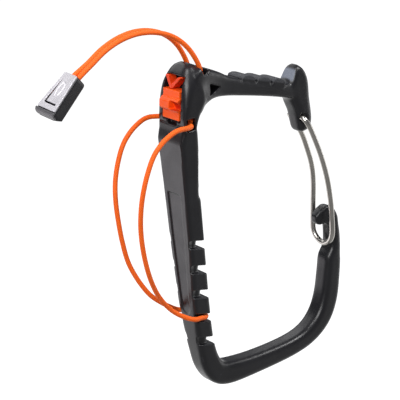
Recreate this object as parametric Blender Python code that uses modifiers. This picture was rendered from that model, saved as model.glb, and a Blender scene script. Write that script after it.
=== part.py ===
"""Belt-mounted tool holder: a C-shaped moulded hook with a wire gate.

The frame's spine lies flat against a harness belt.  An elastic cord loops round the
belt from the head, hooks into one of five notches and is held by a sliding cord lock.
Frame axes: origin on the flat outer face of the spine, +X away from the belt towards
the tools, +Z up along the spine, Y across the thickness.  The holder is symmetric in Y.
"""

import math

import bmesh
import bpy
from mathutils import Matrix, Vector

MM = 0.001
GAP = 0.3 * MM                      # clearance between pieces that touch

# ---- driving dimensions -----------------------------------------------------------
CORD_D = 2.4 * MM                   # elastic cord
WIRE_D = 2.8 * MM                   # gate wire
GATE_HALF_SPAN = 7.3 * MM           # gate leg centre to the mid plane
GATE_PIVOT = (79.4 * MM, -5.7 * MM)     # x, z of the hinge axis
NOTCH_COUNT = 5
NOTCH_FIRST_Z = -49.0 * MM
NOTCH_PITCH = 13.3 * MM
NOTCH_HEIGHT = 4.2 * MM
NOTCH_DEPTH = 2.5 * MM
NOTCH_ROUND = 3.2 * MM               # corner radius of the web left between the grooves
NOTCH_SLANT = math.radians(17)      # grooves run down towards the tool side
CORD_NOTCH = 3                      # the loop sits in the fourth notch, counted from 0
HEAD_LEAN = math.radians(8.5)       # the lock window leans back from the belt face
WINDOW_FOOT = (1.9 * MM, 14.4 * MM)     # x, z of the window's lower edge
WINDOW_HALF_WIDTH = 6.65 * MM
WINDOW_HEIGHT = 21.4 * MM
WINDOW_DEPTH = 6.4 * MM
GAP_HEIGHTS = (12.3 * MM, 15.9 * MM)     # the gap under the lock, across the front
SLOT_FOOT = 9.9 * MM                # the side slots for the cord reach down to here
SLOT_START = 3.0 * MM               # x where the side slots begin, and the gap's depth
SLOT_WEB_HALF = 4.4 * MM
SLOT_END = 9.7 * MM
SLIDER_TOP = 14.7 * MM              # above the window's foot
CORD_BORE = 3.8 * MM                # passages through the head
FUNNELS = [((18.8 * MM, 31.0 * MM), (17.6 * MM, 44.0 * MM)),    # foot and top x, z
           ((20.4 * MM, 32.0 * MM), (21.4 * MM, 41.0 * MM))]
FUNNEL_Y = 4.6 * MM
FUNNEL_RADIUS = 2.7 * MM
TAB_LENGTH = 22.0 * MM
TAB_DEPTH = 7.2 * MM
TAB_MOUTH_WIDTH = 8.8 * MM
TAB_END_WIDTH = 12.6 * MM
TAB_CENTRE = (-55.4 * MM, 0.4 * MM, 41.6 * MM)
TAB_PITCH = math.radians(37.5)      # slope of the tab's long axis below the horizontal
TAB_TWIST = math.radians(9)

CORD_STEPS = 6                      # points worked out between two route points
CORNER_STEPS = 3                    # segments in each rounded corner of a section

# Stations of a moulded limb: outer edge (x, z), inner edge (x, z), half width in Y and
# corner radius, all in millimetres.  Each limb is lofted smoothly through them.
SPINE_AND_HOOK = [
    ((1.4, 9.0), (10.4, 9.0), 9.9, 1.5),
    ((0.35, 5.8), (10.3, 5.8), 9.8, 1.5),
    ((0.0, 4.2), (10.3, 4.2), 9.75, 1.5),
    ((0.0, 3.0), (10.2, 3.0), 9.7, 1.5),
    ((0.0, -1.0), (10.0, -1.0), 9.6, 1.5),
    ((0.0, -23.0), (8.3, -23.0), 8.9, 1.5),
    ((0.0, -27.0), (9.2, -26.0), 8.8, 1.5),
    ((0.0, -48.0), (9.2, -48.0), 8.4, 1.5),
    ((0.0, -71.3), (9.7, -71.3), 7.3, 1.7),
    ((0.0, -79.0), (9.9, -79.2), 7.0, 1.7),
    ((0.15, -82.5), (10.1, -82.9), 6.8, 1.8),
    ((1.0, -96.0), (11.0, -97.0), 6.1, 2.0),
    ((2.2, -107.5), (12.3, -106.0), 5.8, 2.2),
    ((4.4, -117.8), (14.2, -112.4), 5.7, 2.4),
    ((10.0, -126.4), (17.2, -117.0), 5.6, 2.4),
    ((20.0, -131.0), (23.5, -119.4), 5.5, 2.4),
    ((40.0, -132.4), (40.0, -121.8), 5.4, 2.4),
    ((63.0, -132.4), (61.0, -122.6), 5.4, 2.4),
    ((78.2, -129.6), (73.5, -120.6), 5.4, 2.4),
    ((89.4, -122.4), (81.3, -115.0), 5.4, 2.4),
    ((96.0, -111.2), (86.0, -106.0), 5.3, 2.4),
    ((99.3, -95.6), (89.2, -93.0), 5.3, 2.4),
    ((100.4, -86.0), (90.8, -85.5), 5.2, 2.4),
    ((100.9, -81.0), (94.0, -81.3), 5.0, 2.2),
    ((101.0, -73.0), (94.5, -74.0), 4.6, 2.0),
    ((99.8, -63.4), (94.0, -68.6), 4.0, 1.8),
    ((95.4, -58.4), (91.0, -67.4), 3.4, 1.6),
    ((89.8, -59.6), (88.2, -67.2), 3.0, 1.4),
    ((86.2, -61.8), (86.2, -65.4), 2.4, 1.2),
]
HEAD = [
    ((0.5, 4.0), (9.8, 4.0), 9.7, 1.5),
    ((1.7, 10.5), (10.3, 10.5), 9.9, 1.7),
    ((2.7, 17.0), (13.0, 17.0), 10.4, 2.4),
    ((3.9, 24.0), (17.5, 22.0), 10.8, 3.2),
    ((5.2, 30.5), (20.5, 27.5), 10.5, 3.8),
    ((7.0, 35.6), (21.2, 32.0), 9.2, 4.4),
    ((10.0, 39.0), (20.4, 35.8), 6.9, 3.8),
    ((13.6, 40.5), (18.2, 38.6), 3.6, 1.9),
]
TOP_ARM = [
    ((12.0, 35.6), (10.5, 14.0), 8.6, 2.4),
    ((16.5, 36.0), (13.8, 15.8), 8.1, 2.2),
    ((22.8, 33.8), (17.3, 18.7), 7.5, 2.0),
    ((29.3, 30.7), (24.0, 20.2), 7.0, 1.8),
    ((36.3, 27.3), (32.5, 18.9), 6.6, 1.6),
    ((47.3, 23.0), (45.0, 15.4), 6.1, 1.6),
    ((59.0, 18.8), (57.5, 11.6), 5.8, 1.6),
    ((70.0, 14.9), (67.6, 8.2), 5.5, 1.6),
    ((77.6, 12.0), (76.0, 5.0), 5.2, 1.6),
]
NOSE = [
    ((77.8, 21.2), (80.2, 21.4), 2.2, 1.0),
    ((76.5, 19.2), (82.9, 18.8), 4.2, 2.0),
    ((75.0, 16.0), (84.5, 15.0), 5.1, 2.2),
    ((74.0, 11.0), (85.2, 10.6), 5.4, 2.2),
    ((74.6, 4.0), (85.8, 4.0), 5.4, 2.2),
    ((76.3, -2.5), (86.4, -2.5), 5.4, 2.2),
    ((77.2, -8.0), (86.5, -8.0), 5.2, 2.2),
    ((78.0, -12.0), (85.2, -11.8), 4.4, 2.0),
    ((79.6, -13.6), (82.8, -13.6), 2.6, 1.2),
]
FINGER_RIDGES = 3
RIDGE_FIRST = (46.3, 22.9)          # centre of the first ridge, x and z in mm
RIDGE_STEP = (9.4, -3.3)
RIDGE_HALF = (4.9, 5.2, 2.4)        # half length along the arm, half width, height

# ---- the cord's route, in millimetres, as (x, y, z) on the -Y side ----------------------
PULL_STRAND = [
    (-38.8, -1.6, 52.4), (-30.5, -1.6, 56.8), (-21.5, -1.8, 59.5), (-12.0, -2.2, 60.1),
    (-2.6, -2.8, 58.3), (6.0, -3.3, 54.2), (12.6, -3.9, 48.0), (17.0, -4.4, 40.4),
    (18.6, -4.6, 34.4),
]
INNER_RUN = [(17.6, -4.7, 28.5), (14.6, -4.9, 22.2), (10.9, -5.5, 16.8), (7.7, -7.3, 12.6)]
FRONT_EXIT = [(6.0, -10.1, 12.3), (2.6, -11.6, 12.8), (-1.6, -12.5, 13.6)]
BACK_EXIT = [(5.8, -10.2, 13.2), (2.2, -11.8, 13.9), (-1.8, -12.7, 14.3)]
LOOP_STRAND = [
    (-6.2, -12.8, 13.4), (-12.6, -12.3, 10.4), (-17.9, -11.9, 5.6), (-22.0, -11.5, -1.5),
    (-25.2, -10.9, -10.0), (-27.0, -9.9, -19.0), (-27.6, -8.8, -29.0), (-27.1, -8.2, -40.0),
    (-25.4, -7.7, -51.0), (-22.0, -6.2, -61.0), (-17.4, -4.6, -69.7),
]
FRONT_APPROACH = [(-12.0, -4.5, -77.2), (-6.6, -5.8, -82.2), (-1.0, -7.5, -85.4)]
BACK_APPROACH = [(-11.5, -4.4, -76.0), (-5.8, -5.9, -80.8), (-0.8, -7.5, -84.6)]


def start_scene():
    for old in list(bpy.data.objects):
        bpy.data.objects.remove(old, do_unlink=True)


def new_collection(name):
    made = bpy.data.collections.new(name)
    bpy.context.scene.collection.children.link(made)
    return made


def material(name, colour, roughness, metallic=0.0):
    made = bpy.data.materials.new(name)
    made.use_nodes = True
    shader = made.node_tree.nodes["Principled BSDF"]
    shader.inputs["Base Color"].default_value = (*colour, 1.0)
    shader.inputs["Roughness"].default_value = roughness
    shader.inputs["Metallic"].default_value = metallic
    return made


def add_object(name, mesh, collection, surface=None):
    made = bpy.data.objects.new(name, mesh)
    collection.objects.link(made)
    if surface:
        mesh.materials.clear()
        mesh.materials.append(surface)
    return made


def as_cutter(obj):
    obj.hide_render = True
    obj.display_type = "WIRE"
    return obj


def smooth(obj, angle=35):
    obj.data.shade_smooth()
    obj.data.set_sharp_from_angle(angle=math.radians(angle))


def catmull_rom(values, steps):
    """Points on a smooth curve through the given vectors, ends included."""
    ends = [2 * values[0] - values[1], *values, 2 * values[-1] - values[-2]]
    points = []
    for a, b, c, d in zip(ends, ends[1:], ends[2:], ends[3:]):
        for k in range(steps):
            t = k / steps
            points.append(0.5 * (2 * b + (c - a) * t + (2 * a - 5 * b + 4 * c - d) * t * t
                                 + (3 * b - a - 3 * c + d) * t ** 3))
    points.append(values[-1].copy())
    return points


def rounded_section(half_depth, half_width, radius):
    """Outline of a rounded rectangle, as (depth, width) pairs in turning order."""
    radius = min(radius, 0.98 * half_depth, 0.98 * half_width)
    corners = [(1, 1, 0), (-1, 1, 90), (-1, -1, 180), (1, -1, 270)]
    outline = []
    for across, along, start in corners:
        for k in range(CORNER_STEPS + 1):
            angle = math.radians(start + 90 * k / CORNER_STEPS)
            outline.append((across * (half_depth - radius) + radius * math.cos(angle),
                            along * (half_width - radius) + radius * math.sin(angle)))
    return outline


def limb(name, stations, steps, collection, surface=None):
    """A closed loft with rounded-rectangle sections between two edge curves."""
    rows = [Vector((*outer, *inner, width, radius)) for outer, inner, width, radius in stations]
    shape = bmesh.new()
    rings = []
    for ox, oz, ix, iz, width, radius in catmull_rom(rows, steps):
        outer, inner = Vector((ox, 0, oz)) * MM, Vector((ix, 0, iz)) * MM
        middle, towards = (outer + inner) / 2, (outer - inner).normalized()
        outline = rounded_section((outer - inner).length / 2, width * MM, radius * MM)
        rings.append([shape.verts.new(middle + towards * u + Vector((0, v, 0)))
                      for u, v in outline])
    for low, high in zip(rings, rings[1:]):
        for k in range(len(low)):
            after = (k + 1) % len(low)
            shape.faces.new((low[k], low[after], high[after], high[k]))
    shape.faces.new(rings[0])
    shape.faces.new(rings[-1])
    bmesh.ops.recalc_face_normals(shape, faces=shape.faces)
    mesh = bpy.data.meshes.new(name)
    shape.to_mesh(mesh)
    shape.free()
    return add_object(name, mesh, collection, surface)


def box(name, low, high, collection, surface=None):
    shape = bmesh.new()
    size = [b - a for a, b in zip(low, high)]
    centre = [(a + b) / 2 for a, b in zip(low, high)]
    place = Matrix.Translation(centre) @ Matrix.Diagonal((*size, 1))
    bmesh.ops.create_cube(shape, size=1.0, matrix=place)
    mesh = bpy.data.meshes.new(name)
    shape.to_mesh(mesh)
    shape.free()
    return add_object(name, mesh, collection, surface)


def rod(name, radius, start, end, collection, segments=24):
    """A round bar between two points."""
    start, end = Vector(start), Vector(end)
    turn = (end - start).to_track_quat("Z", "Y").to_matrix().to_4x4()
    shape = bmesh.new()
    bmesh.ops.create_cone(shape, cap_ends=True, segments=segments, radius1=radius,
                          radius2=radius, depth=(end - start).length,
                          matrix=Matrix.Translation((start + end) / 2) @ turn)
    mesh = bpy.data.meshes.new(name)
    shape.to_mesh(mesh)
    shape.free()
    return add_object(name, mesh, collection)


def boolean(obj, tool, operation):
    step = obj.modifiers.new(f"{operation.lower()} {tool.name}", "BOOLEAN")
    step.operation = operation
    step.solver = "EXACT"
    step.object = tool


def frozen(curve_object, name, collection, surface=None):
    """The curve object's evaluated shape as a closed mesh; the curve is removed."""
    bpy.context.view_layer.update()
    seen = curve_object.evaluated_get(bpy.context.evaluated_depsgraph_get())
    mesh = bpy.data.meshes.new_from_object(seen)
    mesh.name = name
    welded = bmesh.new()
    welded.from_mesh(mesh)
    bmesh.ops.remove_doubles(welded, verts=welded.verts, dist=0.001 * MM)
    bmesh.ops.recalc_face_normals(welded, faces=welded.faces)
    welded.to_mesh(mesh)
    welded.free()
    made = add_object(name, mesh, collection, surface)
    made.matrix_world = curve_object.matrix_world
    bpy.data.objects.remove(curve_object)
    return made


def prism(name, outline, half_height, collection, surface=None):
    """A flat outline in XY, given as points, made solid by half_height each way in Z."""
    flat = bpy.data.curves.new(name + " outline", "CURVE")
    flat.dimensions = "2D"
    flat.fill_mode = "BOTH"
    flat.extrude = half_height
    line = flat.splines.new("POLY")
    line.points.add(len(outline) - 1)
    for point, (x, y) in zip(line.points, outline):
        point.co = (x, y, 0, 1)
    line.use_cyclic_u = True
    holder = bpy.data.objects.new(name + " outline", flat)
    collection.objects.link(holder)
    return frozen(holder, name, collection, surface)


def tube(name, points, diameter, collection, surface=None, resolution=2):
    """A round cord or wire through points in metres, with filled ends."""
    path = bpy.data.curves.new(name, "CURVE")
    path.dimensions = "3D"
    path.bevel_depth = diameter / 2
    path.bevel_resolution = resolution
    path.use_fill_caps = True
    line = path.splines.new("POLY")
    line.points.add(len(points) - 1)
    for point, place in zip(line.points, points):
        point.co = (*place, 1)
    if surface:
        path.materials.append(surface)
    made = bpy.data.objects.new(name, path)
    collection.objects.link(made)
    return made


def spaced(points, gap):
    """The same line with even spacing near the given gap, ends kept."""
    lengths = [0.0]
    for a, b in zip(points, points[1:]):
        lengths.append(lengths[-1] + (b - a).length)
    count = max(2, round(lengths[-1] / gap))
    even, k = [], 0
    for i in range(count + 1):
        goal = lengths[-1] * i / count
        while k < len(points) - 2 and lengths[k + 1] < goal:
            k += 1
        share = (goal - lengths[k]) / (lengths[k + 1] - lengths[k])
        even.append(points[k].lerp(points[k + 1], share))
    return even


def route(points, mirrored=False):
    side = -1 if mirrored else 1
    return [Vector((x, side * y, z)) * MM for x, y, z in points]


def trimmed(points, cut):
    """The line without its first and last stretch of the given length."""
    lengths = [0.0]
    for a, b in zip(points, points[1:]):
        lengths.append(lengths[-1] + (b - a).length)
    kept = [p for p, at in zip(points, lengths) if cut < at < lengths[-1] - cut]
    start = points[0] + (points[1] - points[0]).normalized() * cut
    end = points[-1] + (points[-2] - points[-1]).normalized() * cut
    return [start, *kept, end]


def half_width_at(z):
    """Half the spine's width in Y at a height."""
    for (_, (_, high), wide, _), (_, (_, low), narrow, _) in zip(SPINE_AND_HOOK, SPINE_AND_HOOK[1:]):
        if low * MM <= z <= high * MM:
            return (narrow + (wide - narrow) * (z / MM - low) / (high - low)) * MM
    raise ValueError("height off the spine")


def inner_face_at(z):
    """X of the spine's inner face at a height."""
    for (_, (top_x, high), _, _), (_, (low_x, low), _, _) in zip(SPINE_AND_HOOK, SPINE_AND_HOOK[1:]):
        if low * MM <= z <= high * MM:
            return (low_x + (top_x - low_x) * (z / MM - low) / (high - low)) * MM
    raise ValueError("height off the spine")


def notch_z(index):
    return NOTCH_FIRST_Z - index * NOTCH_PITCH


def slanted(index, x):
    """Height of a notch's middle line at a distance x from the belt face."""
    return notch_z(index) - (x - inner_face_at(notch_z(index))) * math.tan(NOTCH_SLANT)


def notch_cutter(index, collection):
    """A U-shaped slab round the spine's web, open towards the belt side."""
    z = notch_z(index)
    wide, inner = half_width_at(z), inner_face_at(z)
    web, web_end, reach = wide - NOTCH_DEPTH, inner - NOTCH_DEPTH, 6 * MM
    arc = [(web_end - NOTCH_ROUND + NOTCH_ROUND * math.sin(math.radians(a)),
            web - NOTCH_ROUND + NOTCH_ROUND * math.cos(math.radians(a)))
           for a in range(0, 91, 30)]
    half = [(-0.5 * MM, wide + reach), (-0.5 * MM, wide - 0.9 * MM), (2.4 * MM, web), *arc]
    outline = half + [(x, -y) for x, y in reversed(half)]
    outline += [(inner + reach, -wide - reach), (inner + reach, wide + reach)]
    made = prism(f"notch {index + 1} cutter", [(x - inner, y) for x, y in outline],
                 NOTCH_HEIGHT / 2, collection)
    made.location = (inner, 0, z)
    made.rotation_euler = (0, NOTCH_SLANT, 0)
    return as_cutter(made)


def lean_place():
    """Placement of the lock window: its local x runs inwards and its z up the window."""
    return (Matrix.Translation((WINDOW_FOOT[0], 0, WINDOW_FOOT[1]))
            @ Matrix.Rotation(HEAD_LEAN, 4, "Y"))


def make_ridge(index, tools):
    """A low rounded bar across the top arm, elliptical in side view."""
    x, z = ((RIDGE_FIRST[i] + index * RIDGE_STEP[i]) * MM for i in (0, 1))
    half_length, half_width, height = (size * MM for size in RIDGE_HALF)
    bar = rod(f"ridge {index + 1} body", 1.0, (0, -half_width, 0), (0, half_width, 0), tools, 28)
    bar.data.transform(Matrix.Diagonal((half_length, 1, height, 1)))
    bar.matrix_world = (Matrix.Translation((x, 0, z))
                        @ Matrix.Rotation(math.atan2(-RIDGE_STEP[1], RIDGE_STEP[0]), 4, "Y"))
    return bar


def make_frame(parts, tools, surface):
    frame = limb("frame", SPINE_AND_HOOK, 2, parts, surface)
    for name, stations in (("head body", HEAD), ("top arm body", TOP_ARM), ("nose body", NOSE)):
        boolean(frame, as_cutter(limb(name, stations, 2, tools)), "UNION")
    for k in range(FINGER_RIDGES):
        boolean(frame, as_cutter(make_ridge(k, tools)), "UNION")
    for k in range(NOTCH_COUNT):
        boolean(frame, notch_cutter(k, tools), "DIFFERENCE")
    for cutter in head_cutters(tools) + limb_cutters(tools):
        boolean(frame, as_cutter(cutter), "DIFFERENCE")
    smooth(frame)
    return frame


def head_cutters(tools):
    window = box("window cutter", (-6 * MM, -WINDOW_HALF_WIDTH, 0),
                 (WINDOW_DEPTH, WINDOW_HALF_WIDTH, WINDOW_HEIGHT), tools)
    window.matrix_world = lean_place()
    low, high = GAP_HEIGHTS
    gap = box("cord gap cutter", (-6 * MM, -15 * MM, low), (SLOT_START + GAP, 15 * MM, high), tools)
    cutters = [window, gap]
    for side, name in ((-1, "front"), (1, "back")):
        inner, outer = sorted((side * SLOT_WEB_HALF, side * 14 * MM))
        cutters.append(box(f"{name} cord slot cutter", (SLOT_START, inner, SLOT_FOOT),
                           (SLOT_END, outer, high), tools))
        line = route([PULL_STRAND[-1]] + INNER_RUN, side > 0)
        bore = tube(f"{name} cord bore line", spaced(catmull_rom(line, 6), 4 * MM), CORD_BORE, tools)
        cutters.append(frozen(bore, f"{name} cord bore cutter", tools))
        y = side * FUNNEL_Y
        for k, ((low_x, low_z), (top_x, top_z)) in enumerate(FUNNELS):
            cutters.append(rod(f"{name} cord funnel {k + 1} cutter", FUNNEL_RADIUS,
                               (low_x, y, low_z), (top_x, y, top_z), tools, segments=20))
    return cutters


def limb_cutters(tools):
    """Lanyard hole, belt-face recess and gate pivot bores."""
    across = Matrix.Rotation(math.radians(90), 4, "X")
    hole = prism("lanyard hole cutter", [(20.4 * MM, 28.6 * MM), (20.4 * MM, 23.2 * MM),
                                         (21.6 * MM, 22.4 * MM), (27.4 * MM, 24.6 * MM),
                                         (27.6 * MM, 26.0 * MM), (22.4 * MM, 29.6 * MM)],
                 14 * MM, tools)
    hole.matrix_world = across
    recess = prism("belt recess cutter", recess_outline(), 1.3 * MM, tools)
    recess.matrix_world = Matrix(((0, 0, 1, 0), (1, 0, 0, 0), (0, 1, 0, 0), (0, 0, 0, 1)))
    x, z = GATE_PIVOT
    bores = []
    for side, name in ((-1, "front"), (1, "back")):
        bores.append(rod(f"gate bore {name} cutter", WIRE_D / 2 + GAP, (x, side * 1.5 * MM, z),
                         (x, side * 9 * MM, z), tools, segments=16))
        bores.append(rod(f"gate recess {name} cutter", WIRE_D, (x, side * 4.3 * MM, z),
                         (x, side * 9 * MM, z), tools, segments=20))
    return [hole, recess, *bores]


def recess_outline():
    """The label recess in the belt face, as (y, z) pairs: a tapering slot with round corners."""
    corners = [(-4.6, -21.5), (5.6, -21.5), (5.2, -48.0), (3.6, -84.0), (0.0, -86.0), (-2.2, -84.0),
               (-4.0, -48.0)]
    return [(y * MM, z * MM) for y, z in corners]


def make_gate(parts, surface):
    """One bent wire: two legs from the nose that meet in a U below the hook's tip."""
    x, z = GATE_PIVOT
    front = [(79.4, -5.7), (80.3, -8.5), (83.0, -14.6), (87.4, -27.0), (90.6, -40.0), (92.1, -52.5),
             (92.3, -62.0), (92.1, -70.0)]
    back = [(79.4, -5.7), (81.6, -8.2), (88.2, -18.2), (91.7, -28.6), (93.9, -38.0), (94.2, -47.4),
            (93.2, -58.5), (92.1, -70.0)]
    span = GATE_HALF_SPAN / MM
    stub = [(x / MM, -2.2, z / MM), (x / MM, -5.2, z / MM)]
    legs = [(px, -min(span, 5.2 + 2.1 * k), pz) for k, (px, pz) in enumerate(front)][1:]
    bend = [(92.0 - 0.25 * math.sin(math.radians(a)) - 0.1, -span * math.cos(math.radians(a)),
             -70.6 - 8.1 * math.sin(math.radians(a))) for a in (25, 50, 75, 90, 105, 130, 155)]
    rise = [(px, min(span, 5.2 + 2.1 * k), pz) for k, (px, pz) in enumerate(back)][:0:-1]
    ends = [(x / MM, 5.2, z / MM), (x / MM, 2.2, z / MM)]
    points = [Vector(p) * MM for p in stub + legs + bend + rise + ends]
    line = spaced(catmull_rom(points, 6), 3.2 * MM)
    pivot = Vector((x, 0, z))
    gate = tube("wire_gate", [p - pivot for p in line], WIRE_D, parts, surface, resolution=2)
    gate.location = pivot
    return gate


def make_slider(parts, tools, surface):
    """Cord lock: a stepped block with a thumb ledge that stands proud of the window."""
    half, proud, back = 6.1 * MM, 6.35 * MM, WINDOW_DEPTH - 0.5 * MM
    slider = box("lock_slider", (0.1 * MM, -half, 0.8 * MM), (back, half, SLIDER_TOP), parts, surface)
    profile = [(0.9, 6.0), (-0.4, 6.2), (-1.9, 6.6), (-1.9, 9.2), (-0.4, 11.0), (0.9, 11.4)]
    ledge = prism("slider ledge body", [(x * MM, z * MM) for x, z in profile], proud, tools)
    pocket = box("slider pocket cutter", (-3 * MM, -9 * MM, 5 * MM), (-0.6 * MM, -0.6 * MM, 10.2 * MM),
                 tools)
    boolean(slider, as_cutter(ledge), "UNION")
    boolean(slider, as_cutter(pocket), "DIFFERENCE")
    slider.matrix_world = pocket.matrix_world = lean_place()
    ledge.matrix_world = lean_place() @ Matrix.Rotation(math.radians(90), 4, "X")
    return slider


def make_lock_spring(parts, surface):
    """Two moulded arms that rise in a V from the slider to the window's upper corners."""
    foot, top, reach, thick = SLIDER_TOP + GAP, WINDOW_HEIGHT - 0.4 * MM, 5.7 * MM, 1.15 * MM
    outline = [(-thick, foot), (thick, foot), (reach, top), (reach - 2.2 * thick, top),
               (0, foot + 2 * thick), (-reach + 2.2 * thick, top), (-reach, top)]
    spring = prism("lock_spring", outline, 2.2 * MM, parts, surface)
    upright = Matrix(((0, 0, 1, 3.2 * MM), (1, 0, 0, 0), (0, 1, 0, 0), (0, 0, 0, 1)))
    spring.matrix_world = lean_place() @ upright
    return spring


def tab_place():
    """Placement of the pull tab: local z from mouth to end reversed, x out of the cover."""
    along = Vector((math.cos(TAB_PITCH), 0, math.sin(TAB_PITCH)))
    normal = Vector((-math.sin(TAB_PITCH), 0, math.cos(TAB_PITCH)))
    side = along.cross(normal)
    turn = Matrix.Rotation(TAB_TWIST, 3, along)
    axes = Matrix((turn @ side, turn @ along, turn @ normal)).transposed()
    return Matrix.Translation(TAB_CENTRE) @ axes.to_4x4()


def tab_outline(inset):
    """Trapezoid of the tab seen from its cover, widest at the free end."""
    mouth, end, half = TAB_MOUTH_WIDTH / 2 - inset, TAB_END_WIDTH / 2 - inset, TAB_LENGTH / 2 - inset
    return [(mouth, half), (-mouth, half), (-end, -half), (end, -half)]


def make_tab(parts, tools, body_surface, cover_surface):
    cover = 1.0 * MM
    shift = Matrix.Translation((0, 0, -cover / 2))
    body = prism("pull_tab_body", tab_outline(0), (TAB_DEPTH - cover) / 2, parts, body_surface)
    pocket = prism("tab pocket cutter", tab_outline(1.4 * MM), 2.4 * MM, tools)
    mouth = box("tab mouth cutter", (-3.4 * MM, 4 * MM, -1.7 * MM),
                (3.4 * MM, 12 * MM, 1.7 * MM), tools)
    lid = prism("pull_tab_cover", tab_outline(0.5 * MM), cover / 2 - GAP / 2, parts, cover_surface)
    place = tab_place()
    body.matrix_world = place @ shift
    pocket.matrix_world = place @ Matrix.Translation((0, 0, 0.5 * MM))
    mouth.matrix_world = place
    lid.matrix_world = place @ Matrix.Translation((0, 0, (TAB_DEPTH - cover) / 2 + GAP / 2))
    for tool in (pocket, mouth):
        boolean(body, as_cutter(tool), "DIFFERENCE")
    round_edges(body, 1.4 * MM)
    round_edges(lid, 0.3 * MM)


def round_edges(obj, width):
    bevel = obj.modifiers.new("rounded edges", "BEVEL")
    bevel.width = width
    bevel.segments = 2
    bevel.limit_method = "ANGLE"
    bevel.angle_limit = math.radians(50)
    obj.modifiers.move(len(obj.modifiers) - 1, 0)


def make_knots(parts, surface):
    for side, name in ((-1, "front"), (1, "back")):
        shape = bmesh.new()
        bmesh.ops.create_icosphere(shape, subdivisions=2, radius=1.0)
        mesh = bpy.data.meshes.new(f"end_knot_{name}")
        bmesh.ops.scale(shape, verts=shape.verts, vec=(1.75 * MM, 2.3 * MM, 1.75 * MM))
        shape.to_mesh(mesh)
        shape.free()
        knot = add_object(f"end_knot_{name}", mesh, parts, surface)
        knot.matrix_world = tab_place() @ Matrix.Translation((side * -1.9 * MM, 1.0 * MM, 0.1 * MM))
        smooth(knot)


def notch_turn():
    """The cord's half turn round the notch's web, from front to back."""
    inner = inner_face_at(notch_z(CORD_NOTCH))
    off = CORD_D / 2 + 3 * GAP - NOTCH_DEPTH
    radius = half_width_at(notch_z(CORD_NOTCH)) + off
    centre = inner + off - radius
    turn = [(centre + radius * math.sin(math.radians(a)), -radius * math.cos(math.radians(a)))
            for a in range(0, 181, 30)]
    return [Vector((x, y, slanted(CORD_NOTCH, x))) for x, y in turn]


def tab_entry(mirrored=False):
    """Where a strand ends against its knot and where it enters the tab, in that order."""
    side = -1 if mirrored else 1
    return [tab_place() @ (Vector((side * x, y, z)) * MM)
            for x, y, z in ((1.9, 3.7, 0.0), (1.7, 11.0, -0.2))]


def cord_lines():
    """The cord's five stretches, cut from one smooth line: name to list of points."""
    halves = {}
    for name, mirrored, leave, approach in (("front", False, FRONT_EXIT, FRONT_APPROACH),
                                            ("back", True, BACK_EXIT, BACK_APPROACH)):
        pulled = tab_entry(mirrored) + route(PULL_STRAND, mirrored)
        inside = route(INNER_RUN, mirrored)
        halves[name] = (pulled, inside, route(leave + LOOP_STRAND + approach, mirrored))
    pulled, inside, strand = halves["front"]
    other_pulled, other_inside, other_strand = halves["back"]
    every = (pulled + inside + strand + notch_turn()
             + other_strand[::-1] + other_inside[::-1] + other_pulled[::-1])
    line = catmull_rom(every, CORD_STEPS)
    cuts = [0, len(pulled) - 1, len(pulled) + len(inside) - 1]
    cuts += [len(every) - 1 - k for k in reversed(cuts)]
    names = ["pull_cord_front", "inner_cord_front", "belt_loop_cord", "inner_cord_back",
             "pull_cord_back"]
    return {name: trimmed(line[CORD_STEPS * a:CORD_STEPS * b + 1], 2 * GAP)
            for name, a, b in zip(names, cuts, cuts[1:])}


def make_cords(parts, surface):
    for name, line in cord_lines().items():
        tube(name, spaced(line, 2 * CORD_D), CORD_D, parts, surface)


def main():
    start_scene()
    parts, tools = new_collection("tool_holder"), new_collection("cutters")
    black = material("moulded_black", (0.025, 0.025, 0.028), 0.45)
    orange = material("moulded_orange", (0.85, 0.13, 0.02), 0.4)
    steel = material("stainless_wire", (0.62, 0.6, 0.57), 0.3, 1.0)
    cord = material("elastic_cord", (0.9, 0.2, 0.03), 0.75)
    silver = material("tab_cover_metal", (0.6, 0.6, 0.62), 0.35, 1.0)
    make_frame(parts, tools, black)
    make_gate(parts, steel)
    make_slider(parts, tools, orange)
    make_lock_spring(parts, orange)
    make_tab(parts, tools, black, silver)
    make_knots(parts, cord)
    make_cords(parts, cord)


main()
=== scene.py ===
"""Looks of the belt-mounted tool holder: every visible piece is rebuilt round the frame.

Frame axes: origin on the spine's flat belt face, +X towards the tools, +Z up the spine,
Y across.  Sizes and places are written in millimetres, as in the design; MM makes them metres.
"""

import math

import bmesh
import bpy
import numpy as np
from mathutils import Matrix, Vector


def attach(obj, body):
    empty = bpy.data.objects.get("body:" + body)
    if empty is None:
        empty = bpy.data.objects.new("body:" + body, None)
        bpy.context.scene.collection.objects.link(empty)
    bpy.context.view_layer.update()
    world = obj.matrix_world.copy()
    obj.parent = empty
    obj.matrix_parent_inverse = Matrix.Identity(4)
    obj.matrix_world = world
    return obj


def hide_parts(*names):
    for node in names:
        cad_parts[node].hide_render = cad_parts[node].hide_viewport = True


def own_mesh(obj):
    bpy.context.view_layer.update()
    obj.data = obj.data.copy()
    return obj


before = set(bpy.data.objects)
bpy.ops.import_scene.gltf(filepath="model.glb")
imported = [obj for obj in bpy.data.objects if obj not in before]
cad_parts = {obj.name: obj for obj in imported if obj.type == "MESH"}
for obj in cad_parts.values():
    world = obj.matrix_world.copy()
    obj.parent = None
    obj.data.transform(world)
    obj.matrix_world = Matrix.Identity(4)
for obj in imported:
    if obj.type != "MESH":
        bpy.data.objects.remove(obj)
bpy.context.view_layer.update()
MM = 0.001

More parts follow.
